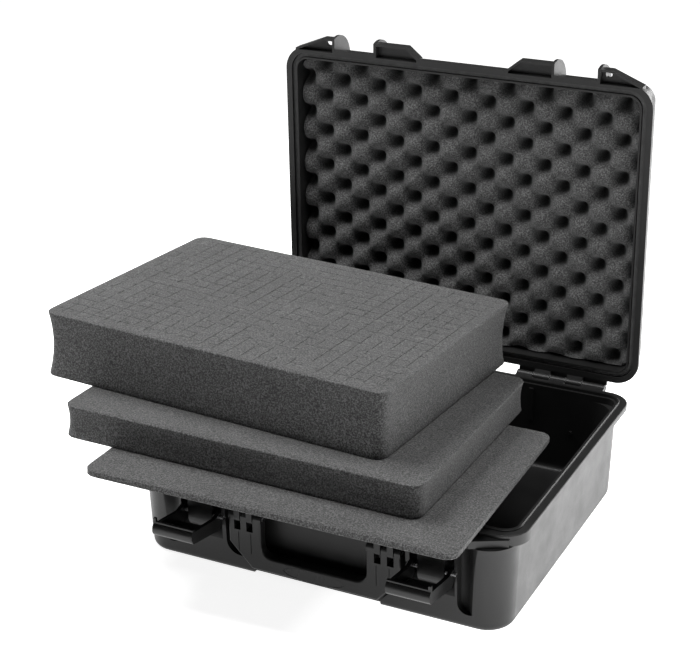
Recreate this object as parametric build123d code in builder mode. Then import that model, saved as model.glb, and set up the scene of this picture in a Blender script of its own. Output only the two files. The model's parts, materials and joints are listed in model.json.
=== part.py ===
from build123d import *
import os

# Hard equipment case, lid standing open at a right angle, its loose foam inserts fanned out
# above the tub. Origin: middle of the tub's flat underside. +X runs along the length to the
# right, +Y to the back where the hinges are, +Z up. Millimetres.

os.makedirs("parts", exist_ok=True)

# ---------------------------------------------------------------- driving dimensions
RIM_LENGTH = 450.0  # outer rim flange, left to right
RIM_WIDTH = 358.0  # outer rim flange, front to back
RIM_CORNER = 28.0
RIM_Z = 110.5  # face of the tub's flange that the lid closes on
RIM_GAP = 0.3  # between the two flanges when shut
FLANGE_BOTTOM = 104.0
SHELF_BOTTOM = 98.0  # underside of the front tabs and handle bosses
TAB_THICKNESS = 8.5

WALL_INSET = 7.5  # outer wall, in from the flange edge
CAVITY_INSET = 14.5  # inner wall, in from the flange edge
FLOOR = 4.0
WALL_DRAFT = 2.2
CAVITY_DRAFT = 1.2
FLOOR_RADIUS = 7.0
BOTTOM_RADIUS = 7.0

TONGUE_INSETS = (8.5, 11.5)  # raised ridge that presses the lid's gasket
TONGUE_HEIGHT = 2.0
TONGUE_SCORE = 0.8
INNER_LIP_DROP = 1.7
TONGUE_CHAMFER = 1.0  # on its outer edge

FRONT_Y = -194.0  # front face of fins, lower band and corners
FRONT_CORNER = 34.0
BACK_CORNER = 42.0
CAVITY_CORNER = 30.0  # below the rim
RIM_OPENING = 9.5  # depth over which the mouth keeps the rim's own small corners
RECESS_Y = -171.5  # back of the latch bays and of the handle recess

HINGE_Y = 188.0
HINGE_Z = 108.5
KNUCKLE_EDGES = (78.5, 99.0, 119.5, 139.0, 159.5, 187.5)  # from the middle outwards
KNUCKLE_GAP = 1.0
KNUCKLE_RADIUS = 4.6
HINGE_PIN = 4.0
RUNNING_CLEARANCE = 0.1  # on the diameter of a hole that turns on a pin

LID_DEPTH = 45.0
LID_TOP = 4.0
LID_DRAFT = 2.0
LID_FLANGE = 4.5
LID_STEP_INSET = 4.5
LID_STEP = 7.5
LID_TOP_RADIUS = 9.0
GROOVE_INSETS = (7.2, 12.6)
GROOVE_DEPTH = 5.0
GASKET_INSETS = (7.7, 12.1)
GASKET_FACE = 2.5
FRAME_BACK = -172.6  # where the front tabs and bosses run into the wall
FRAME_WALL = 2.6  # walls of the hollow tabs and bosses on the lid's front edge
FRAME_HEIGHT = 12.0
FRAME_HOLLOW = 8.0
CHEEK_THICKNESS = 3.2
CHEEK_HEIGHT = 41.0

BAY_CENTRE = 135.5
BAY_WIDTH = 50.0
BAY_FLOOR = 30.0
BAY_FRONT = -192.3  # where the bay's floor curves up from the lower band
FIN_THICKNESS = 2.6
BLOCK_WIDTH = 30.0
BLOCK_FRONT = -195.6
SCOOP_WIDTH = 24.0
SCOOP_FLAT = 3.0
SCOOP_DEPTH = 12.0
SCOOP_FLOOR = 17.0

TAB_FRONT = -196.0
LID_TAB_FRONT = -191.5
TAB_INNER = BAY_CENTRE + BAY_WIDTH / 2
BOSS_OUTER = BAY_CENTRE - BAY_WIDTH / 2
PADLOCK_HOLE = 7.4
PADLOCK_X = 171.0
PADLOCK_Y = -185.0

LATCH_Y = -193.0
LATCH_Z = 62.8
LATCH_PIN = 4.0
LEVER_WIDTH = 48.4
ARM_THICKNESS = 4.4
ARM_BOSS = 6.5
LIP_TOP = 13.0  # above the pin, lever swung open

HANDLE_FRONT = -195.0
HANDLE_THICKNESS = 12.0
HANDLE_HALF = 101.0
HANDLE_FOOT_HALF = 74.0
HANDLE_BOTTOM = 9.5
HANDLE_SHOULDER = 38.0
HANDLE_Y = HANDLE_FRONT + HANDLE_THICKNESS / 2
HANDLE_Z = 69.5
HANDLE_PIN = 5.0
WINDOW_HALF = 62.0
WINDOW_BOTTOM = 26.6
WINDOW_CORNER = 13.0
NOTCH_BOTTOM = 54.5
NOTCH_WIDTH = 7.7
LUG_WIDTH = 7.0
LUG_CENTRES = (75.2, 90.0)
LUG_RADIUS = 7.0
RECESS_HALF = 106.0
RECESS_FLOOR = 20.0
BADGE = (70.0, 14.0)
BADGE_Z = 17.6
BADGE_THICKNESS = 1.2

VALVE_Z = 80.0
VALVE_BORE = 16.0
VALVE_SHANK = 15.6

# foam inserts: size, thickness, middle of the top face, turn about the upright
STACK_TILT = (-3.46, 1.41)
PADS = {
    "pluck_foam_pad": ((417.0, 316.0), 73.3, (-119.2, -27.9, 243.1), -1.85),
    "middle_foam_pad": ((410.0, 313.0), 36.2, (-70.3, -80.0, 171.4), 1.66),
    "bottom_foam_sheet": ((407.0, 311.0), 6.5, (-14.1, -134.8, 136.8), 3.0),
}
PAD_CORNER = 14.0
LID_FOAM_INSET = 17.0
LID_FOAM_SPAN = (6.2, 40.7)

SIDES = {"left": -1, "right": 1}


# ---------------------------------------------------------------- plans shared by tub and lid
def rim_plan(inset):
    """The rim's rounded rectangle, taken in by an inset all round."""
    with BuildSketch() as plan:
        RectangleRounded(RIM_LENGTH - 2 * inset, RIM_WIDTH - 2 * inset, RIM_CORNER - inset)
    return plan.sketch


def rim_band(insets):
    """The band of the rim between two insets."""
    outer, inner = insets
    with BuildSketch() as plan:
        add(rim_plan(outer))
        add(rim_plan(inner), mode=Mode.SUBTRACT)
    return plan.sketch


def front_frame(corners, wall):
    """A tab or boss on the front edge; with a wall thickness, the hollow inside that wall."""
    with BuildSketch() as plan:
        Polygon(*corners, align=None)
        if wall:
            offset(plan.sketch, -wall, kind=Kind.INTERSECTION, mode=Mode.REPLACE)
    return plan.sketch


def tab_plan(side, front, wall=0.0):
    """A padlock tab: straight beside the latch bay, slanting away to the corner."""
    inner = side * TAB_INNER
    corners = [
        (inner, front),
        (side * 176, front),
        (side * 212, -177),
        (side * 212, FRAME_BACK),
        (inner, FRAME_BACK),
    ]
    return front_frame(corners, wall)


def boss_plan(side, front, wall=0.0):
    """A handle boss: straight beside the latch bay, slanting away to the middle."""
    outer = side * BOSS_OUTER
    corners = [
        (outer, front),
        (side * 69, front),
        (side * 53.5, -179),
        (side * 53.5, FRAME_BACK),
        (outer, FRAME_BACK),
    ]
    return front_frame(corners, wall)


with BuildSketch() as body_plan:
    with Locations((0, (FRONT_Y + RIM_WIDTH / 2 - WALL_INSET) / 2)):
        Rectangle(RIM_LENGTH - 2 * WALL_INSET, RIM_WIDTH / 2 - WALL_INSET - FRONT_Y)
    fillet(body_plan.vertices().group_by(Axis.Y)[0], FRONT_CORNER)
    fillet(body_plan.vertices().group_by(Axis.Y)[-1], BACK_CORNER)

with BuildSketch() as corner_shelf:
    add(rim_plan(0))
    Rectangle(2 * TAB_INNER, RIM_WIDTH, mode=Mode.SUBTRACT)
    with Locations((0, RIM_CORNER + 8)):
        Rectangle(RIM_LENGTH, RIM_WIDTH, mode=Mode.SUBTRACT)

# ---------------------------------------------------------------- tools cut from the tub
with BuildPart() as corner_scoop:
    scoop_start = TAB_INNER + FIN_THICKNESS
    scoop_end = scoop_start + SCOOP_WIDTH
    scoop_back = FRONT_Y + SCOOP_DEPTH
    outside = FRONT_Y - 8
    # where the scoop runs out on the rounded corner, and the corner's direction there
    across = scoop_end - (RIM_LENGTH / 2 - WALL_INSET - FRONT_CORNER)
    along = (FRONT_CORNER**2 - across**2) ** 0.5
    run_out = (scoop_end, FRONT_Y + FRONT_CORNER - along)
    with BuildSketch(Plane.XY):
        with BuildLine():
            Polyline((scoop_start, outside), (scoop_start, scoop_back), (scoop_start + SCOOP_FLAT, scoop_back))
            Spline(
                (scoop_start + SCOOP_FLAT, scoop_back),
                run_out,
                tangents=[(1, 0), (along, across)],
            )
            Polyline(run_out, (scoop_end, outside), (scoop_start, outside))
        make_face()
    extrude(amount=SHELF_BOTTOM)
    with BuildSketch(Plane.XZ.offset(-outside + 1)):
        with Locations((scoop_start + SCOOP_WIDTH / 2, SHELF_BOTTOM)):
            RectangleRounded(SCOOP_WIDTH, 2 * (SHELF_BOTTOM - SCOOP_FLOOR), SCOOP_WIDTH / 2 - 0.1)
    extrude(amount=-40, mode=Mode.INTERSECT)

with BuildSketch(Plane.XZ.offset(205)) as recess_front:
    with Locations((0, SHELF_BOTTOM)):
        RectangleRounded(2 * RECESS_HALF, 2 * (SHELF_BOTTOM - RECESS_FLOOR), 16)
    with Locations((0, SHELF_BOTTOM + 60)):
        Rectangle(300, 120, mode=Mode.SUBTRACT)

with BuildSketch(Plane.XZ.offset(205)) as handle_seat:
    Polygon(
        (-HANDLE_HALF - 2, 52),
        (-HANDLE_HALF - 2, HANDLE_SHOULDER - 0.6),
        (-HANDLE_FOOT_HALF - 2, HANDLE_BOTTOM - 1.5),
        (-HANDLE_FOOT_HALF - 2, -1),
        (HANDLE_FOOT_HALF + 2, -1),
        (HANDLE_FOOT_HALF + 2, HANDLE_BOTTOM - 1.5),
        (HANDLE_HALF + 2, HANDLE_SHOULDER - 0.6),
        (HANDLE_HALF + 2, 52),
        align=None,
    )


def mirrored(x):
    """The same distance left and right of the middle."""
    return (-x, x)


def knuckle_spans(parity):
    """Left and right ends of every second hinge knuckle, on both hinges."""
    for index in range(parity, len(KNUCKLE_EDGES) - 1, 2):
        near = KNUCKLE_EDGES[index] + (KNUCKLE_GAP / 2 if index else 0)
        last = index == len(KNUCKLE_EDGES) - 2
        far = KNUCKLE_EDGES[index + 1] - (0 if last else KNUCKLE_GAP / 2)
        yield near, far
        yield -far, -near


# ---------------------------------------------------------------- tub
with BuildPart() as base_shell:
    # outside: drafted body with the latch front, neck, flange
    with BuildSketch(Plane.XY.offset(SHELF_BOTTOM)):
        add(body_plan.sketch)
    extrude(amount=-SHELF_BOTTOM, taper=WALL_DRAFT)
    fillet(base_shell.edges().group_by(Axis.Z)[0], BOTTOM_RADIUS)
    with BuildSketch(Plane.XY.offset(SHELF_BOTTOM)):
        add(rim_plan(WALL_INSET))
        add(corner_shelf.sketch)
        for side in SIDES.values():
            add(tab_plan(side, TAB_FRONT))
            add(boss_plan(side, TAB_FRONT))
    extrude(amount=TAB_THICKNESS)
    with BuildSketch(Plane.XY.offset(FLANGE_BOTTOM)):
        add(rim_plan(0))
    extrude(amount=RIM_Z - FLANGE_BOTTOM)
    fillet(base_shell.edges().filter_by_position(Axis.Z, RIM_Z - 0.1, RIM_Z + 0.1), 1.0)

    # rim: tongue with a chamfer outside and a fine score along it, lower lip inside
    with BuildSketch(Plane.XY.offset(FLANGE_BOTTOM)):
        add(rim_band(TONGUE_INSETS))
    extrude(amount=RIM_Z + TONGUE_HEIGHT - FLANGE_BOTTOM)
    chamfer(base_shell.faces().sort_by(Axis.Z)[-1].outer_wire().edges(), TONGUE_CHAMFER)
    middle = sum(TONGUE_INSETS) / 2
    with BuildSketch(Plane.XY.offset(RIM_Z + TONGUE_HEIGHT)):
        add(rim_band((middle - TONGUE_SCORE / 2, middle + TONGUE_SCORE / 2)))
    extrude(amount=-TONGUE_SCORE, mode=Mode.SUBTRACT)
    with BuildSketch(Plane.XY.offset(RIM_Z)):
        add(rim_band((TONGUE_INSETS[1], CAVITY_INSET + 2)))
    extrude(amount=-INNER_LIP_DROP, mode=Mode.SUBTRACT)

    # inside
    with BuildSketch(Plane.XY.offset(RIM_Z)):
        add(rim_plan(CAVITY_INSET))
    extrude(amount=-RIM_OPENING, mode=Mode.SUBTRACT)
    with BuildSketch(Plane.XY.offset(RIM_Z - RIM_OPENING)):
        RectangleRounded(RIM_LENGTH - 2 * CAVITY_INSET, RIM_WIDTH - 2 * CAVITY_INSET, CAVITY_CORNER)
    extrude(amount=FLOOR - RIM_Z + RIM_OPENING, taper=CAVITY_DRAFT, mode=Mode.SUBTRACT)
    fillet(base_shell.edges().filter_by_position(Axis.Z, FLOOR - 0.1, FLOOR + 0.1), FLOOR_RADIUS)
    cavity_back = RIM_WIDTH / 2 - CAVITY_INSET
    for x in mirrored(105.5):
        with Locations((x, cavity_back, 83)):
            Box(5, 4.4, 42)
    with BuildSketch(Plane.XZ.offset(-cavity_back)):
        with Locations(*[(x, 56) for x in mirrored(156)]):
            Circle(2.2)
    extrude(amount=3.4)

    # latch bays with a scooped floor, and the block between the lever's arms
    for side in SIDES.values():
        left = side * BAY_CENTRE - BAY_WIDTH / 2
        with BuildSketch(Plane.YZ.offset(left)):
            with BuildLine():
                Polyline((RECESS_Y, 54), (RECESS_Y, FLANGE_BOTTOM), (-210, FLANGE_BOTTOM))
                Polyline((-210, FLANGE_BOTTOM), (-210, BAY_FLOOR), (BAY_FRONT, BAY_FLOOR))
                TangentArc((BAY_FRONT, BAY_FLOOR), (RECESS_Y, 54), tangent=(0, 1))
            make_face()
        extrude(amount=BAY_WIDTH, mode=Mode.SUBTRACT)
        with BuildSketch(Plane.YZ.offset(side * BAY_CENTRE - BLOCK_WIDTH / 2)):
            with BuildLine():
                Polyline(
                    (BLOCK_FRONT, 56),
                    (BLOCK_FRONT, 70),
                    (BLOCK_FRONT + 1.6, FLANGE_BOTTOM + 1),
                    (RECESS_Y + 3, FLANGE_BOTTOM + 1),
                    (RECESS_Y + 3, 42),
                    (-177, 42),
                )
                TangentArc((BLOCK_FRONT, 56), (-177, 42), tangent=(0, -1))
            make_face()
        extrude(amount=BLOCK_WIDTH)
    add(corner_scoop.part, mode=Mode.SUBTRACT)
    add(corner_scoop.part.mirror(Plane.YZ), mode=Mode.SUBTRACT)

    # handle recess, the seat of the handle's bar, and the lugs the handle hangs from
    extrude(recess_front.sketch, amount=-(205 + RECESS_Y), mode=Mode.SUBTRACT)
    extrude(handle_seat.sketch, amount=-(205 + HANDLE_FRONT + HANDLE_THICKNESS + 1.5), mode=Mode.SUBTRACT)
    for side in SIDES.values():
        for centre in LUG_CENTRES:
            with BuildSketch(Plane.YZ.offset(side * centre - LUG_WIDTH / 2)):
                with Locations((HANDLE_Y, HANDLE_Z)):
                    Circle(LUG_RADIUS)
                Polygon(
                    (HANDLE_Y - LUG_RADIUS, HANDLE_Z),
                    (HANDLE_Y - LUG_RADIUS, SHELF_BOTTOM + 1),
                    (RECESS_Y + 2, SHELF_BOTTOM + 1),
                    (RECESS_Y + 2, HANDLE_Z - 12),
                    (HANDLE_Y + 4.5, HANDLE_Z - 5),
                    align=None,
                )
            extrude(amount=LUG_WIDTH)

    # hinge knuckles
    for near, far in knuckle_spans(0):
        with BuildSketch(Plane.YZ.offset(near)):
            with Locations((HINGE_Y, HINGE_Z)):
                Circle(KNUCKLE_RADIUS)
            Polygon(
                (RIM_WIDTH / 2 - 3, FLANGE_BOTTOM),
                (HINGE_Y, HINGE_Z - KNUCKLE_RADIUS),
                (HINGE_Y, HINGE_Z + 2),
                (RIM_WIDTH / 2 - 3, RIM_Z - 0.5),
                align=None,
            )
        extrude(amount=far - near)

    # coring from below, so that the thick front stays light
    with BuildSketch(Plane.XY):
        for x in mirrored(123) + mirrored(149):
            with Locations((x, -181)):
                Rectangle(21, 14)
        for x in mirrored(19) + mirrored(57):
            with Locations((x, -173.5)):
                Rectangle(33, 8)
    extrude(amount=15, mode=Mode.SUBTRACT)
    with BuildSketch(Plane.XY):
        with Locations(*[(x, -172.5) for x in mirrored(184)]):
            Rectangle(14, 9)
    extrude(amount=88, mode=Mode.SUBTRACT)

    # bores: latch pins, handle pins, hinge pins, padlock tabs, purge valve
    for side in SIDES.values():
        with BuildSketch(Plane.YZ.offset(side * BAY_CENTRE)):
            with Locations((LATCH_Y, LATCH_Z)):
                Circle(LATCH_PIN / 2)
        extrude(amount=BAY_WIDTH / 2 + 5, both=True, mode=Mode.SUBTRACT)
        with BuildSketch(Plane.YZ.offset(side * 82)):
            with Locations((HANDLE_Y, HANDLE_Z)):
                Circle(HANDLE_PIN / 2)
        extrude(amount=20, both=True, mode=Mode.SUBTRACT)
        with BuildSketch(Plane.YZ.offset(side * 133)):
            with Locations((HINGE_Y, HINGE_Z)):
                Circle(HINGE_PIN / 2)
        extrude(amount=56, both=True, mode=Mode.SUBTRACT)
        with BuildSketch(Plane.XY.offset(SHELF_BOTTOM - 0.5)):
            with Locations((side * PADLOCK_X, PADLOCK_Y)):
                Circle(PADLOCK_HOLE / 2)
        extrude(amount=30, mode=Mode.SUBTRACT)
    with BuildSketch(Plane.XZ.offset(-RECESS_Y + 1)):
        with Locations((0, VALVE_Z)):
            Circle(VALVE_BORE / 2)
    extrude(amount=-12, mode=Mode.SUBTRACT)
base_shell.part.label = "base_shell"
export_step(base_shell.part, "parts/base_shell.step")

# ---------------------------------------------------------------- lid, drawn as if shut
# On this plane the local x and y are the shut lid's X and Y, and the local z is the height above
# its rim face; the plane stands the lid up about the hinge axis.
LID_RIM = Plane(
    origin=(0, HINGE_Y + RIM_Z + RIM_GAP - HINGE_Z, HINGE_Z + HINGE_Y),
    x_dir=(1, 0, 0),
    z_dir=(0, 1, 0),
)


def lid_side(x):
    """A plane across the lid at X = x: local x is the shut lid's Y, local y its height."""
    return Plane(origin=(x, LID_RIM.origin.Y, LID_RIM.origin.Z), x_dir=(0, 0, -1), z_dir=(1, 0, 0))


HINGE_HEIGHT = HINGE_Z - RIM_Z - RIM_GAP  # hinge axis, above the lid's rim face
COVER_BOTTOM = 3.0  # strip that hides the hinge from inside, above the lid's rim face

with BuildPart() as lid_shell:
    with BuildSketch(LID_RIM):
        add(rim_plan(WALL_INSET))
    extrude(amount=LID_DEPTH, taper=LID_DRAFT)
    fillet(lid_shell.faces().sort_by(Axis.Y)[-1].edges(), LID_TOP_RADIUS)
    with BuildSketch(LID_RIM):
        add(rim_plan(LID_STEP_INSET))
    extrude(amount=LID_STEP)
    with BuildSketch(LID_RIM):
        add(rim_plan(0))
    extrude(amount=LID_FLANGE)

    # a raised panel with stacking ribs on the outside of the lid
    with BuildSketch(LID_RIM.offset(LID_DEPTH - 1)):
        RectangleRounded(360, 268, 16)
        RectangleRounded(346, 254, 10, mode=Mode.SUBTRACT)
    extrude(amount=2.5)

    # hollow padlock tabs and bosses, each with a cheek beside the latch bay
    for side in SIDES.values():
        for plan in (tab_plan, boss_plan):
            with BuildSketch(LID_RIM):
                add(plan(side, LID_TAB_FRONT))
            extrude(amount=FRAME_HEIGHT)
            with BuildSketch(LID_RIM):
                add(plan(side, LID_TAB_FRONT, FRAME_WALL))
            extrude(amount=FRAME_HOLLOW, mode=Mode.SUBTRACT)
        for edge in (TAB_INNER, BOSS_OUTER - CHEEK_THICKNESS):
            start = edge if side > 0 else -edge - CHEEK_THICKNESS
            with BuildSketch(lid_side(start)):
                with BuildLine():
                    ThreePointArc((LID_TAB_FRONT, 0), (-193.5, 14), (-168, CHEEK_HEIGHT))
                    Polyline((-168, CHEEK_HEIGHT), (-168, 0), (LID_TAB_FRONT, 0))
                make_face()
            extrude(amount=CHEEK_THICKNESS)

    # inside, gasket groove
    with BuildSketch(LID_RIM):
        add(rim_plan(CAVITY_INSET))
    extrude(amount=LID_DEPTH - LID_TOP, taper=LID_DRAFT, mode=Mode.SUBTRACT)
    with BuildSketch(LID_RIM):
        add(rim_band(GROOVE_INSETS))
    extrude(amount=GROOVE_DEPTH, mode=Mode.SUBTRACT)

    # hinge knuckles
    for near, far in knuckle_spans(1):
        with BuildSketch(lid_side(near)):
            with Locations((HINGE_Y, HINGE_HEIGHT)):
                Circle(KNUCKLE_RADIUS)
            Polygon(
                (RIM_WIDTH / 2 - 3, 0.2),
                (RIM_WIDTH / 2 + 0.5, 0.2),
                (HINGE_Y, HINGE_HEIGHT - 2),
                (HINGE_Y, HINGE_HEIGHT + KNUCKLE_RADIUS),
                (RIM_WIDTH / 2 - 3, LID_FLANGE),
                align=None,
            )
        extrude(amount=far - near)
    # cover strip over each hinge
    for x in (KNUCKLE_EDGES[0], -KNUCKLE_EDGES[-1]):
        with BuildSketch(lid_side(x)):
            Polygon(
                (RIM_WIDTH / 2 - 3, COVER_BOTTOM),
                (HINGE_Y - 2, COVER_BOTTOM),
                (HINGE_Y - 2, COVER_BOTTOM + 2),
                (RIM_WIDTH / 2 - 3, COVER_BOTTOM + 4),
                align=None,
            )
        extrude(amount=KNUCKLE_EDGES[-1] - KNUCKLE_EDGES[0])

    # bores
    for side in SIDES.values():
        with BuildSketch(lid_side(side * 133)):
            with Locations((HINGE_Y, HINGE_HEIGHT)):
                Circle((HINGE_PIN + RUNNING_CLEARANCE) / 2)
        extrude(amount=56, both=True, mode=Mode.SUBTRACT)
        with BuildSketch(LID_RIM):
            with Locations((side * PADLOCK_X, PADLOCK_Y)):
                Circle(PADLOCK_HOLE / 2)
        extrude(amount=30, mode=Mode.SUBTRACT)
lid_shell.part.label = "lid_shell"
export_step(lid_shell.part, "parts/lid_shell.step")

with BuildPart() as lid_gasket:
    with BuildSketch(LID_RIM.offset(GASKET_FACE)):
        add(rim_band(GASKET_INSETS))
    extrude(amount=GROOVE_DEPTH - GASKET_FACE)
lid_gasket.part.label = "lid_gasket"
export_step(lid_gasket.part, "parts/lid_gasket.step")

with BuildPart() as lid_foam:
    with BuildSketch(LID_RIM.offset(LID_FOAM_SPAN[0])):
        add(rim_plan(LID_FOAM_INSET))
    extrude(amount=LID_FOAM_SPAN[1] - LID_FOAM_SPAN[0])
lid_foam.part.label = "lid_foam"
export_step(lid_foam.part, "parts/lid_foam.step")

# ---------------------------------------------------------------- hinge pins
for name, side in SIDES.items():
    with BuildPart() as hinge_pin:
        near = KNUCKLE_EDGES[0] + 0.6
        far = KNUCKLE_EDGES[-1] - 0.6
        with BuildSketch(Plane.YZ.offset(near if side > 0 else -far)):
            with Locations((HINGE_Y, HINGE_Z)):
                Circle(HINGE_PIN / 2)
        extrude(amount=far - near)
        chamfer(hinge_pin.edges().filter_by(GeomType.CIRCLE), 0.5)
    hinge_pin.part.label = f"hinge_pin_{name}"
    export_step(hinge_pin.part, f"parts/hinge_pin_{name}.step")


# ---------------------------------------------------------------- latches, swung open
def latch_point(forward, up):
    """A point of the open lever: distance from its pin towards the front, and above the pin."""
    return (LATCH_Y - forward, LATCH_Z + up)


for name, side in SIDES.items():
    lever_left = side * BAY_CENTRE - LEVER_WIDTH / 2
    with BuildPart() as latch_lever:
        # lip with a rounded roll under a flat upper edge, and the web behind it
        with BuildSketch(Plane.YZ.offset(lever_left)):
            with BuildLine():
                ThreePointArc(latch_point(56, -3.2), latch_point(60, 4), latch_point(56.4, 11))
                Polyline(
                    latch_point(56.4, 11),
                    latch_point(57, 11.6),
                    latch_point(56.8, LIP_TOP),
                    latch_point(53.2, LIP_TOP),
                    latch_point(53.2, -0.2),
                    latch_point(12, -8.6),
                    latch_point(12, -12.2),
                    latch_point(56, -3.2),
                )
            make_face()
        extrude(amount=LEVER_WIDTH)
        # small tooth standing on the lip at its outer end
        tooth_x = side * (BAY_CENTRE + LEVER_WIDTH / 2 - 1.5)
        with Locations((tooth_x, *latch_point(55, LIP_TOP + 1.0))):
            Box(3, 3.2, 6)
        # two arms reaching back to the pin
        for start in (lever_left, lever_left + LEVER_WIDTH - ARM_THICKNESS):
            with BuildSketch(Plane.YZ.offset(start)):
                with Locations(latch_point(0, 0)):
                    Circle(ARM_BOSS)
                Polygon(
                    latch_point(55.6, -3.2),
                    latch_point(6, -13.2),
                    latch_point(-3, -9),
                    latch_point(-6.3, -1.5),
                    latch_point(0, 6.4),
                    latch_point(12, 3.5),
                    latch_point(53, 10),
                    align=None,
                )
            extrude(amount=ARM_THICKNESS)
        # stiffening ribs inside the trough
        for step in mirrored(17):
            with BuildSketch(Plane.YZ.offset(side * BAY_CENTRE + step - 0.9)):
                Polygon(
                    latch_point(53.6, -1.5),
                    latch_point(14, -9),
                    latch_point(14, -7.5),
                    latch_point(53.6, 6),
                    align=None,
                )
            extrude(amount=1.8)
        with BuildSketch(Plane.YZ.offset(side * BAY_CENTRE)):
            with Locations(latch_point(0, 0)):
                Circle((LATCH_PIN + RUNNING_CLEARANCE) / 2)
        extrude(amount=LEVER_WIDTH, both=True, mode=Mode.SUBTRACT)
    latch_lever.part.label = f"latch_lever_{name}"
    export_step(latch_lever.part, f"parts/latch_lever_{name}.step")

    with BuildPart() as latch_pin:
        length = BAY_WIDTH + 2 * FIN_THICKNESS - 1
        with BuildSketch(Plane.YZ.offset(side * BAY_CENTRE - length / 2)):
            with Locations((LATCH_Y, LATCH_Z)):
                Circle(LATCH_PIN / 2)
        extrude(amount=length)
    latch_pin.part.label = f"latch_pin_{name}"
    export_step(latch_pin.part, f"parts/latch_pin_{name}.step")

# ---------------------------------------------------------------- carrying handle, hanging down
with BuildPart() as carry_handle:
    with BuildSketch(Plane.XZ.offset(-HANDLE_FRONT)):
        Polygon(
            (-HANDLE_HALF, HANDLE_Z),
            (-HANDLE_HALF, HANDLE_SHOULDER),
            (-HANDLE_FOOT_HALF, HANDLE_BOTTOM),
            (HANDLE_FOOT_HALF, HANDLE_BOTTOM),
            (HANDLE_HALF, HANDLE_SHOULDER),
            (HANDLE_HALF, HANDLE_Z),
            align=None,
        )
        with Locations((0, HANDLE_Z)):
            RectangleRounded(
                2 * WINDOW_HALF, 2 * (HANDLE_Z - WINDOW_BOTTOM), WINDOW_CORNER, mode=Mode.SUBTRACT
            )
    extrude(amount=-HANDLE_THICKNESS)
    long_edges = carry_handle.edges().filter_by(
        lambda e: e.center().Z < HANDLE_Z - 1 and abs(e.bounding_box().size.Y) < 0.01
    )
    fillet(long_edges, 2.5)
    for side in SIDES.values():
        start = min(side * WINDOW_HALF, side * HANDLE_HALF)
        with BuildSketch(Plane.YZ.offset(start)):
            with Locations((HANDLE_Y, HANDLE_Z)):
                Circle(HANDLE_THICKNESS / 2)
        extrude(amount=HANDLE_HALF - WINDOW_HALF)
        for centre in LUG_CENTRES:
            with Locations((side * centre, HANDLE_Y, NOTCH_BOTTOM + 20)):
                Box(NOTCH_WIDTH, HANDLE_THICKNESS + 4, 40, mode=Mode.SUBTRACT)
            with Locations((side * (centre - 1.3), HANDLE_FRONT, NOTCH_BOTTOM - 14.5)):
                Box(0.9, 1.6, 24, mode=Mode.SUBTRACT)
        with BuildSketch(Plane.YZ.offset(side * 82)):
            with Locations((HANDLE_Y, HANDLE_Z)):
                Circle((HANDLE_PIN + RUNNING_CLEARANCE) / 2)
        extrude(amount=24, both=True, mode=Mode.SUBTRACT)
    with BuildSketch(Plane.XZ.offset(-HANDLE_FRONT)):
        with Locations((0, BADGE_Z)):
            Ellipse(BADGE[0] / 2 + 0.5, BADGE[1] / 2 + 0.5)
    extrude(amount=-BADGE_THICKNESS, mode=Mode.SUBTRACT)
carry_handle.part.label = "carry_handle"
export_step(carry_handle.part, "parts/carry_handle.step")

with BuildPart() as handle_badge:
    with BuildSketch(Plane.XZ.offset(-HANDLE_FRONT - BADGE_THICKNESS)):
        with Locations((0, BADGE_Z)):
            Ellipse(BADGE[0] / 2, BADGE[1] / 2)
    extrude(amount=BADGE_THICKNESS - 0.3)
handle_badge.part.label = "handle_badge"
export_step(handle_badge.part, "parts/handle_badge.step")

for name, side in SIDES.items():
    with BuildPart() as handle_pin:
        length = HANDLE_HALF - WINDOW_HALF - 1.0
        with BuildSketch(Plane.YZ.offset(side * (HANDLE_HALF + WINDOW_HALF) / 2 - length / 2)):
            with Locations((HANDLE_Y, HANDLE_Z)):
                Circle(HANDLE_PIN / 2)
        extrude(amount=length)
    handle_pin.part.label = f"handle_pin_{name}"
    export_step(handle_pin.part, f"parts/handle_pin_{name}.step")

# ---------------------------------------------------------------- purge valve behind the handle
with BuildPart() as purge_valve_seal:
    with BuildSketch(Plane.XZ.offset(-RECESS_Y)):
        with Locations((0, VALVE_Z)):
            Circle(11.5)
            Circle(VALVE_BORE / 2, mode=Mode.SUBTRACT)
    extrude(amount=1.5)
purge_valve_seal.part.label = "purge_valve_seal"
export_step(purge_valve_seal.part, "parts/purge_valve_seal.step")

with BuildPart() as purge_valve_body:
    with BuildSketch(Plane.XZ.offset(-RECESS_Y + 1.5)):
        with Locations((0, VALVE_Z)):
            Circle(13)
    extrude(amount=5)
    fillet(purge_valve_body.edges().sort_by(Axis.Y)[0], 1.5)
    with BuildSketch(Plane.XZ.offset(-RECESS_Y + 6.5)):
        with Locations((0, VALVE_Z)):
            with PolarLocations(9.5, 12):
                Circle(1.1)
    extrude(amount=-2, mode=Mode.SUBTRACT)
    with BuildSketch(Plane.XZ.offset(-RECESS_Y + 1.5)):
        with Locations((0, VALVE_Z)):
            Circle(VALVE_SHANK / 2)
    extrude(amount=-17)
purge_valve_body.part.label = "purge_valve_body"
export_step(purge_valve_body.part, "parts/purge_valve_body.step")

with BuildPart() as purge_valve_nut:
    with BuildSketch(Plane.XZ.offset(-RECESS_Y - 8)):
        with Locations((0, VALVE_Z)):
            RegularPolygon(12, 6)
            Circle(VALVE_SHANK / 2 + 0.05, mode=Mode.SUBTRACT)
    extrude(amount=-5)
purge_valve_nut.part.label = "purge_valve_nut"
export_step(purge_valve_nut.part, "parts/purge_valve_nut.step")

# ---------------------------------------------------------------- loose foam inserts
for name, (size, thickness, top_centre, turn) in PADS.items():
    with BuildPart() as pad:
        with BuildSketch(Plane(Location(top_centre, (*STACK_TILT, turn)))):
            RectangleRounded(*size, PAD_CORNER)
        extrude(amount=-thickness)
    pad.part.label = name
    export_step(pad.part, f"parts/{name}.step")
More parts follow.
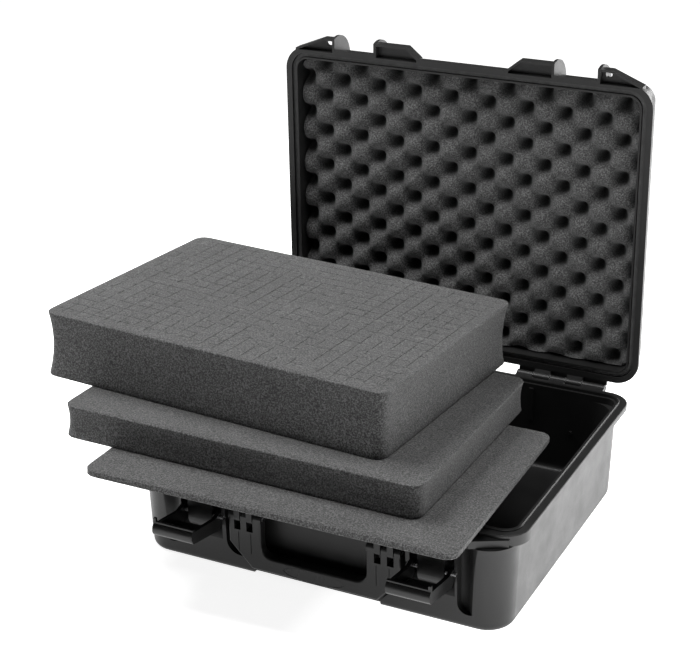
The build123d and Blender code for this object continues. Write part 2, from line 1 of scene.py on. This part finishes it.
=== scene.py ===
import json
import math

import bpy
import numpy as np
from mathutils import Matrix, Vector, noise


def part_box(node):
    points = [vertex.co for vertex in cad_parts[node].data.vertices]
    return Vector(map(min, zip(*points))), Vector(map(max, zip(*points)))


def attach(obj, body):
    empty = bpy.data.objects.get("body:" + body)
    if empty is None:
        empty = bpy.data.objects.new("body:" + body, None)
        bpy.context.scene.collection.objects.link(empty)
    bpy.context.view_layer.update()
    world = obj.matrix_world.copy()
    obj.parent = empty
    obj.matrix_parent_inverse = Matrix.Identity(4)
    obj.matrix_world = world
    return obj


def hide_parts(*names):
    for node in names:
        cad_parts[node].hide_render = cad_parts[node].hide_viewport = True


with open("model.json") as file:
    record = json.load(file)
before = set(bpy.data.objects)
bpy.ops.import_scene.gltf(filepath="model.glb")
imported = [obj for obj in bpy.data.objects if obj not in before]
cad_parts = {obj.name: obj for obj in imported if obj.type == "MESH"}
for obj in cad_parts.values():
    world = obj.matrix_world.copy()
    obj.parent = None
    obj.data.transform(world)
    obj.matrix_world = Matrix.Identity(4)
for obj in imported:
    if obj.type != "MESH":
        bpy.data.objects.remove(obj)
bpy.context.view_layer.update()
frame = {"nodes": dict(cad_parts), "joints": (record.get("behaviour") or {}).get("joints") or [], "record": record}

MM = 0.001
STACK_UP = Vector(next(j["axis"] for j in frame["joints"] if j["name"] == "top_lift")).normalized()

# the camera: where it stands, where it looks, and how long its lens is
CAMERA_PLACE = (0.7485, -1.5897, 1.0016)
CAMERA_YAW = 26.675
CAMERA_PITCH = 23.946
CAMERA_ROLL = -0.846
CAMERA_LENS = 90.04

# foam inserts: how far the sides pull in, their edges and corners, and the mesh's steps
WAIST = 4.5 * MM
MIDDLE_WAIST = WAIST * 0.5
SHEET_WAIST = WAIST * 0.05
EDGE_ROUND = 1.0 * MM
PAD_CORNER = 13 * MM
SIDE_STEPS = 10
TOP_STEP = 9 * MM
TOP_UNEVEN = 0.5 * MM

# pluck grid: how far its slits are apart, and how wide and deep they are
PLUCK_PITCH = 17.5 * MM
PLUCK_PHASE = (193.5 * MM, 20.7 * MM)
SLIT_HALF = 0.38 * MM
SLIT_DEPTH = 3 * MM
SLIT_MARGIN = 7 * MM
SLIT_PARTS = 6

# the white floor's glow, painted light that is brighter to the right where lamplight would fall: left and right
# value, strength, and the span it changes over
FLOOR_GLOW = (0.3, 1.0)
FLOOR_GLOW_STRENGTH = 2.9
FLOOR_GLOW_SPAN = (0.0, 0.5)

# soft lights: where each stands, where it aims, its size and its power
SOFTBOXES = {
    "key_left": ((-0.75, -0.1, 1.4), (0, -0.1, 0.2), (0.8, 0.7), 34),
    "overhead": ((0.4, -0.05, 1.7), (0, -0.1, 0.2), (0.8, 0.7), 20),
    "rim_right": ((0.85, 1.35, 0.75), (0.1, 0, 0.1), (0.9, 0.5), 15),
}
SKY_STRENGTH = 0.06

# egg-crate foam: one cell of the pattern, and how deep its hollows go
CRATE_PITCH = (46.2 * MM, 43.4 * MM)
CRATE_DEPTH = 28 * MM
CRATE_ROLL = 0.3
CRATE_NARROW = 4.0
CRATE_PHASE = (-157.5 * MM, 436 * MM)
CRATE_SLOPE = 0.56
CRATE_STEP = 2.4 * MM
CRATE_UNEVEN = 1.2 * MM
CRATE_CORNER = 10 * MM
CRATE_SIDE = 3 * MM


# ---------------------------------------------------------------- material helpers
def new_material(name):
    """A node material and its Principled shader."""
    material = bpy.data.materials.new(name)
    material.use_nodes = True
    shader = material.node_tree.nodes["Principled BSDF"]
    return material, shader


def add_node(material, kind, **inputs):
    """Adds a node and sets its inputs by name; a _ in a name stands for a space."""
    node = material.node_tree.nodes.new(kind)
    for key, value in inputs.items():
        node.inputs[key.replace("_", " ")].default_value = value
    return node


def link(material, out, into):
    material.node_tree.links.new(out, into)


def object_coordinates(material):
    return add_node(material, "ShaderNodeTexCoord").outputs["Object"]


def noise_texture(material, coordinates, scale, detail=3.0, roughness=0.55):
    node = add_node(material, "ShaderNodeTexNoise", Scale=scale, Detail=detail, Roughness=roughness)
    link(material, coordinates, node.inputs["Vector"])
    return node.outputs["Fac"]


def ramp(material, value, stops):
    """A colour ramp through (position, colour) stops."""
    node = add_node(material, "ShaderNodeValToRGB")
    elements = node.color_ramp.elements
    while len(elements) < len(stops):
        elements.new(0.5)
    for element, (position, colour) in zip(elements, stops):
        element.position = position
        element.color = (*colour, 1) if hasattr(colour, "__len__") else (colour, colour, colour, 1)
    link(material, value, node.inputs["Fac"])
    return node.outputs["Color"]


def bump(material, height, strength, distance, normal=None):
    node = add_node(material, "ShaderNodeBump", Strength=strength, Distance=distance)
    link(material, height, node.inputs["Height"])
    if normal:
        link(material, normal, node.inputs["Normal"])
    return node.outputs["Normal"]


def moulded_plastic(name, tone, roughness, grain):
    """Black moulded polypropylene: fine spark texture, faint flow marks, slightly worn sheen."""
    material, shader = new_material(name)
    place = object_coordinates(material)
    cloud = noise_texture(material, place, 9, detail=2)
    base = ramp(material, cloud, [(0.3, tone * 0.85), (0.7, tone * 1.15)])
    link(material, base, shader.inputs["Base Color"])
    patches = noise_texture(material, place, 35, detail=4)
    rough = ramp(material, patches, [(0.3, roughness - 0.04), (0.7, roughness + 0.05)])
    link(material, rough, shader.inputs["Roughness"])
    shader.inputs["Specular IOR Level"].default_value = 0.3
    spark = noise_texture(material, place, 1400, detail=2)
    normal = bump(material, spark, grain, 0.0004)
    link(material, normal, shader.inputs["Normal"])
    return material


def foam_material(name, tone, hollows=None):
    """Open-cell polyurethane foam: tiny dark pores between paler struts, uneven in tone.
    hollows, (Y of the peaks, Y of the hollows), paints shade into an egg-crate block, darker the deeper it goes
    into the hollows."""
    material, shader = new_material(name)
    place = object_coordinates(material)
    pores = add_node(material, "ShaderNodeTexVoronoi", Scale=900)
    link(material, place, pores.inputs["Vector"])
    fleck = noise_texture(material, place, 600, detail=2, roughness=0.7)
    cloud = noise_texture(material, place, 14, detail=3)
    grain = ramp(material, fleck, [(0.37, tone * 0.4), (0.5, tone), (0.63, tone * 2.2)])
    shade = ramp(material, cloud, [(0.3, 0.86), (0.7, 1.0)])
    # painted shade: with hollows given, the colour darkens with depth down into the egg crate's hollows, standing
    # in for the shade that falls there
    if hollows:
        split = add_node(material, "ShaderNodeSeparateXYZ")
        link(material, place, split.inputs["Vector"])
        depth = add_node(material, "ShaderNodeMapRange")
        depth.inputs["From Min"].default_value, depth.inputs["From Max"].default_value = hollows
        link(material, split.outputs["Y"], depth.inputs["Value"])
        shade = ramp(material, depth.outputs["Result"], [(0.12, 1.0), (0.45, 0.45), (0.8, 0.12)])
    mix = add_node(material, "ShaderNodeMix")
    mix.data_type = "RGBA"
    mix.blend_type = "MULTIPLY"
    mix.inputs["Factor"].default_value = 1
    link(material, grain, mix.inputs["A"])
    link(material, shade, mix.inputs["B"])
    link(material, mix.outputs["Result"], shader.inputs["Base Color"])
    shader.inputs["Roughness"].default_value = 0.95
    shader.inputs["Specular IOR Level"].default_value = 0.15
    shader.inputs["Sheen Weight"].default_value = 0.12
    shader.inputs["Sheen Roughness"].default_value = 0.6
    coarse = bump(material, fleck, 0.5, 0.0009)
    fine = bump(material, pores.outputs["Distance"], 0.35, 0.0006, coarse)
    link(material, fine, shader.inputs["Normal"])
    return material


def steel_material(name):
    """Drawn steel rod with fine scratches round it."""
    material, shader = new_material(name)
    place = object_coordinates(material)
    stretch = add_node(material, "ShaderNodeMapping")
    stretch.inputs["Scale"].default_value = (12, 1, 1)
    link(material, place, stretch.inputs["Vector"])
    scratches = noise_texture(material, stretch.outputs["Vector"], 260, detail=4)
    rough = ramp(material, scratches, [(0.3, 0.2), (0.7, 0.38)])
    tint = ramp(material, scratches, [(0.3, (0.55, 0.55, 0.56)), (0.7, (0.68, 0.68, 0.69))])
    link(material, tint, shader.inputs["Base Color"])
    link(material, rough, shader.inputs["Roughness"])
    shader.inputs["Metallic"].default_value = 1
    link(material, bump(material, scratches, 0.1, 0.0002), shader.inputs["Normal"])
    return material


def rubber_material(name):
    """Soft black seal with a dusty bloom."""
    material, shader = new_material(name)
    place = object_coordinates(material)
    dust = noise_texture(material, place, 160, detail=4)
    link(material, ramp(material, dust, [(0.35, 0.016), (0.75, 0.034)]), shader.inputs["Base Color"])
    shader.inputs["Roughness"].default_value = 0.62
    link(material, bump(material, dust, 0.15, 0.0004), shader.inputs["Normal"])
    return material


SHELL = moulded_plastic("moulded_shell", 0.009, 0.38, 0.22)
FITTINGS = moulded_plastic("moulded_fittings", 0.008, 0.32, 0.14)
BADGE = moulded_plastic("badge_plate", 0.012, 0.26, 0.08)
STEEL = steel_material("steel_pin")
RUBBER = rubber_material("seal_rubber")
FOAM = foam_material("foam_insert", 0.047)
CRATE_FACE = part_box("lid_foam")[0].y
# the egg-crate foam's colour carries painted shade, darker deeper in its hollows
CRATE = foam_material("foam_egg_crate", 0.042, (CRATE_FACE, CRATE_FACE + CRATE_DEPTH))

CAD_MATERIALS = {
    "moulded_shell": SHELL,
    "moulded_fittings": FITTINGS,
    "badge": BADGE,
    "seal_rubber": RUBBER,
    "steel_pin": STEEL,
    "foam": FOAM,
}
for subpart in frame["record"]["subparts"]:
    node = frame["nodes"][subpart["node"]]
    node.data.materials.clear()
    node.data.materials.append(CAD_MATERIALS[subpart["material_slot"]])


# ---------------------------------------------------------------- mesh helpers
def new_object(name, vertices, faces, material):
    mesh = bpy.data.meshes.new(name)
    mesh.from_pydata(vertices, [], faces)
    mesh.validate()
    mesh.update()
    mesh.polygons.foreach_set("use_smooth", [True] * len(mesh.polygons))
    made = bpy.data.objects.new(name, mesh)
    bpy.context.scene.collection.objects.link(made)
    mesh.materials.append(material)
    return made


def slab_frame(node):
    """The middle, axes and size of a foam insert's CAD slab, read from its mesh."""
    mesh = frame["nodes"][node].data
    points = np.array([v.co for v in mesh.vertices], float)
    upright = [p for p in mesh.polygons if abs(p.normal.dot(STACK_UP)) < 0.01]
    long_side = max(upright, key=lambda p: p.area).normal
    x_axis = long_side.cross(STACK_UP).normalized()
    if x_axis.x < 0:
        x_axis = -x_axis
    y_axis = STACK_UP.cross(x_axis).normalized()
    axes = Matrix((x_axis, y_axis, STACK_UP))
    local = points @ np.array(axes).T
    low, high = local.min(0), local.max(0)
    middle = Vector((low + high) / 2)
    return axes.transposed(), axes.transposed() @ middle, Vector(high - low)


def even_steps(half, step):
    """Positions from -half to half, about one step apart."""
    count = max(2, round(2 * half / step))
    return [-half + 2 * half * k / count for k in range(count + 1)]


def slit_steps(half, pitch, phase):
    """Positions across a slit grid: both lips and the bottom of every slit, and steps between."""
    lines = []
    line = phase - pitch * math.floor((phase + half - SLIT_MARGIN) / pitch)
    while line < half - SLIT_MARGIN:
        lines.append(line)
        line += pitch
    steps = [-half, *even_between(-half, lines[0] - SLIT_HALF, 3)]
    for here, after in zip(lines, lines[1:] + [half + SLIT_HALF]):
        steps += [here - SLIT_HALF, here, here + SLIT_HALF]
        steps += even_between(here + SLIT_HALF, after - SLIT_HALF, SLIT_PARTS)
    return steps + [half], {round(line, 6) for line in lines}


def even_between(start, end, parts):
    return [start + (end - start) * k / parts for k in range(1, parts)]


def round_corner(x, y, half_x, half_y, radius):
    """Draws a point of a rectangle's grid in, so that the rectangle's corners become round."""
    over_x = (abs(x) - half_x + radius) / radius
    over_y = (abs(y) - half_y + radius) / radius
    if min(over_x, over_y) <= 0:
        return x, y
    pull = max(over_x, over_y) / math.hypot(over_x, over_y)
    corner_x = half_x - radius + over_x * pull * radius
    corner_y = half_y - radius + over_y * pull * radius
    return math.copysign(corner_x, x), math.copysign(corner_y, y)


def outward(x, y, half_x, half_y, radius):
    """The direction square to a rounded rectangle's outline, at a point on it."""
    away = Vector((max(abs(x) - half_x + radius, 0), max(abs(y) - half_y + radius, 0)))
    if away.length < 1e-7:
        away = Vector((1, 0)) if half_x - abs(x) < half_y - abs(y) else Vector((0, 1))
    away.normalize()
    return Vector((math.copysign(away.x, x), math.copysign(away.y, y)))


def foam_block(name, material, place, xs, ys, halves, corner, top, rings):
    """A foam block: a top face of grid points with a height each, and rings down its sides.
    Each ring is (how far out from the top face's outline, height)."""
    half_x, half_y = halves
    vertices = []
    for y in ys:
        for x in xs:
            at = round_corner(x, y, half_x, half_y, corner)
            vertices.append((*at, top(x, y)))
    wide, deep = len(xs), len(ys)
    faces = [
        (j * wide + i, j * wide + i + 1, (j + 1) * wide + i + 1, (j + 1) * wide + i)
        for j in range(deep - 1)
        for i in range(wide - 1)
    ]
    edge = list(range(wide))
    edge += [j * wide + wide - 1 for j in range(1, deep)]
    edge += [(deep - 1) * wide + i for i in range(wide - 2, -1, -1)]
    edge += [j * wide for j in range(deep - 2, 0, -1)]
    upper = edge
    for out, height in rings:
        ring = []
        for index in edge:
            x, y, _ = vertices[index]
            away = outward(x, y, half_x, half_y, corner)
            wander = noise.noise(Vector((x, y, height)) * 14) * abs(out) * 0.25
            ring.append(len(vertices))
            vertices.append((x + away.x * (out + wander), y + away.y * (out + wander), height))
        for k, index in enumerate(ring):
            after = (k + 1) % len(ring)
            faces.append((upper[after], upper[k], index, ring[after]))
        upper = ring
    faces.append(tuple(reversed(upper)))
    points = [place @ Vector(v) for v in vertices]
    block = new_object(name, points, faces, material)
    block.data.set_sharp_from_angle(angle=math.radians(50))
    return block


def slab_rings(thickness, waist):
    """Down the side of a cut slab: a crisp edge, sides drawn in at half height, a crisp edge."""
    rings = [(EDGE_ROUND * 0.7, -EDGE_ROUND * 0.3), (EDGE_ROUND, -EDGE_ROUND)]
    for k in range(1, SIDE_STEPS):
        share = k / SIDE_STEPS
        height = -EDGE_ROUND - share * (thickness - 2 * EDGE_ROUND)
        rings.append((EDGE_ROUND - waist * math.sin(math.pi * share) ** 0.8, height))
    rings.append((EDGE_ROUND, EDGE_ROUND - thickness))
    rings += [(EDGE_ROUND * 0.7, EDGE_ROUND * 0.3 - thickness), (0, -thickness)]
    return rings


def declare_foam(piece, node, body):
    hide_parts(node)
    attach(piece, body)


# ---------------------------------------------------------------- loose foam inserts
def foam_insert(node, body, waist, slits=False):
    axes, middle, size = slab_frame(node)
    half_x, half_y = size.x / 2 - EDGE_ROUND, size.y / 2 - EDGE_ROUND
    x_lines = y_lines = frozenset()
    if slits:
        xs, x_lines = slit_steps(half_x, PLUCK_PITCH, PLUCK_PHASE[0])
        ys, y_lines = slit_steps(half_y, PLUCK_PITCH, PLUCK_PHASE[1])
    else:
        xs = even_steps(half_x, TOP_STEP)
        ys = even_steps(half_y, TOP_STEP)

    def cut(line, along):
        """How open a slit is at a place along it: uneven, with uncut bridges in between."""
        dash = noise.noise(Vector((line * 310, along * 90, 2)))
        stretch = noise.noise(Vector((line * 12, along * 12, 7)))
        return min(max(0.28 + 1.5 * dash + 0.9 * stretch, 0), 1)

    def top(x, y):
        height = noise.noise(Vector((x, y, 0)) * 9) * TOP_UNEVEN
        if round(x, 6) in x_lines and abs(y) < half_y - SLIT_MARGIN:
            height -= SLIT_DEPTH * cut(x, y)
        if round(y, 6) in y_lines and abs(x) < half_x - SLIT_MARGIN:
            height -= SLIT_DEPTH * cut(y + 1, x) * 0.8
        return height

    lift = Matrix.Translation(middle) @ axes.to_4x4() @ Matrix.Translation((0, 0, size.z / 2))
    rings = slab_rings(size.z, waist)
    insert = foam_block(f"{node}_cut", FOAM, lift, xs, ys, (half_x, half_y), PAD_CORNER, top, rings)
    declare_foam(insert, node, body)


# ---------------------------------------------------------------- egg-crate foam in the lid
def crate_height(x, z):
    """Broad round peaks and narrow deep hollows in a chequered pattern."""
    across = (x - CRATE_PHASE[0]) / CRATE_PITCH[0]
    up = (z - CRATE_PHASE[1]) / CRATE_PITCH[1] + CRATE_SLOPE * (x - CRATE_PHASE[0])
    wave = -math.cos(2 * math.pi * across) * math.cos(2 * math.pi * up)
    hollow = (1 - wave) / 2
    return -CRATE_DEPTH * (CRATE_ROLL * hollow + (1 - CRATE_ROLL) * hollow**CRATE_NARROW)


def egg_crate():
    low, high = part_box("lid_foam")
    middle = (low + high) / 2
    half_x, half_z = (high.x - low.x) / 2, (high.z - low.z) / 2

    def top(x, z):
        uneven = noise.noise(Vector((x, z, 5)) * 22) * CRATE_UNEVEN
        return crate_height(middle.x + x, middle.z + z) + uneven - CRATE_UNEVEN

    # local x is X, local y is up the standing lid, local z faces the front
    place = Matrix(((1, 0, 0, middle.x), (0, 0, -1, low.y), (0, 1, 0, middle.z), (0, 0, 0, 1)))
    xs = even_steps(half_x, CRATE_STEP)
    ys = even_steps(half_z, CRATE_STEP)
    thickness = high.y - low.y
    rings = [(0, -CRATE_DEPTH - CRATE_SIDE), (0, -thickness)]
    halves = (half_x, half_z)
    crate = foam_block("lid_foam_crate", CRATE, place, xs, ys, halves, CRATE_CORNER, top, rings)
    declare_foam(crate, "lid_foam", "lid")


foam_insert("pluck_foam_pad", "foam_top", WAIST, slits=True)
foam_insert("middle_foam_pad", "foam_middle", MIDDLE_WAIST)
foam_insert("bottom_foam_sheet", "foam_sheet", SHEET_WAIST)
egg_crate()


# ---------------------------------------------------------------- floor, light, camera
def add_floor():
    size = 12
    floor = new_object(
        "floor",
        [(-size, -size, 0), (size, -size, 0), (size, size, 0), (-size, size, 0)],
        [(0, 1, 2, 3)],
        None,
    )
    material, shader = new_material("pale_floor")
    place = object_coordinates(material)
    cloud = noise_texture(material, place, 3, detail=2)
    link(material, ramp(material, cloud, [(0.3, 0.78), (0.7, 0.82)]), shader.inputs["Base Color"])
    shader.inputs["Roughness"].default_value = 0.9
    # painted light: the floor glows dimmer on the left and brighter on the right, in place of lamplight falling on
    # it
    split = add_node(material, "ShaderNodeSeparateXYZ")
    link(material, place, split.inputs["Vector"])
    glow = add_node(material, "ShaderNodeMapRange")
    glow.inputs["From Min"].default_value, glow.inputs["From Max"].default_value = FLOOR_GLOW_SPAN
    link(material, split.outputs["X"], glow.inputs["Value"])
    lit = ramp(material, glow.outputs["Result"], [(0, FLOOR_GLOW[0]), (1, FLOOR_GLOW[1])])
    link(material, lit, shader.inputs["Emission Color"])
    shader.inputs["Emission Strength"].default_value = FLOOR_GLOW_STRENGTH
    floor.data.materials.clear()
    floor.data.materials.append(material)


def add_softbox(name, place, aim, size, power):
    light = bpy.data.lights.new(name, "AREA")
    light.shape = "RECTANGLE"
    light.size, light.size_y = size
    light.energy = power
    box = bpy.data.objects.new(name, light)
    box.location = place
    box.rotation_euler = (Vector(aim) - Vector(place)).to_track_quat("-Z", "Y").to_euler()
    box.visible_camera = False
    bpy.context.scene.collection.objects.link(box)


def add_lighting():
    world = bpy.data.worlds.new("studio")
    world.use_nodes = True
    world.node_tree.nodes["Background"].inputs["Color"].default_value = (1, 1, 1, 1)
    world.node_tree.nodes["Background"].inputs["Strength"].default_value = SKY_STRENGTH
    bpy.context.scene.world = world
    for name, (place, aim, size, power) in SOFTBOXES.items():
        add_softbox(name, place, aim, size, power)


def add_camera():
    yaw, pitch, roll = (math.radians(a) for a in (CAMERA_YAW, CAMERA_PITCH, CAMERA_ROLL))
    look = Vector((-math.sin(yaw) * math.cos(pitch), math.cos(yaw) * math.cos(pitch), -math.sin(pitch)))
    level = Vector((math.cos(yaw), math.sin(yaw), 0))
    upright = level.cross(look)
    right = math.cos(roll) * level + math.sin(roll) * upright
    up = -math.sin(roll) * level + math.cos(roll) * upright
    camera = bpy.data.cameras.new("camera")
    camera.lens = CAMERA_LENS
    camera.sensor_width = 36
    camera.clip_start = 0.05
    camera.clip_end = 60
    holder = bpy.data.objects.new("camera", camera)
    holder.matrix_world = Matrix.Translation(CAMERA_PLACE) @ Matrix((right, up, -look)).transposed().to_4x4()
    bpy.context.scene.collection.objects.link(holder)
    bpy.context.scene.camera = holder


add_floor()
add_lighting()
add_camera()
bpy.context.scene.view_settings.view_transform = "Standard"
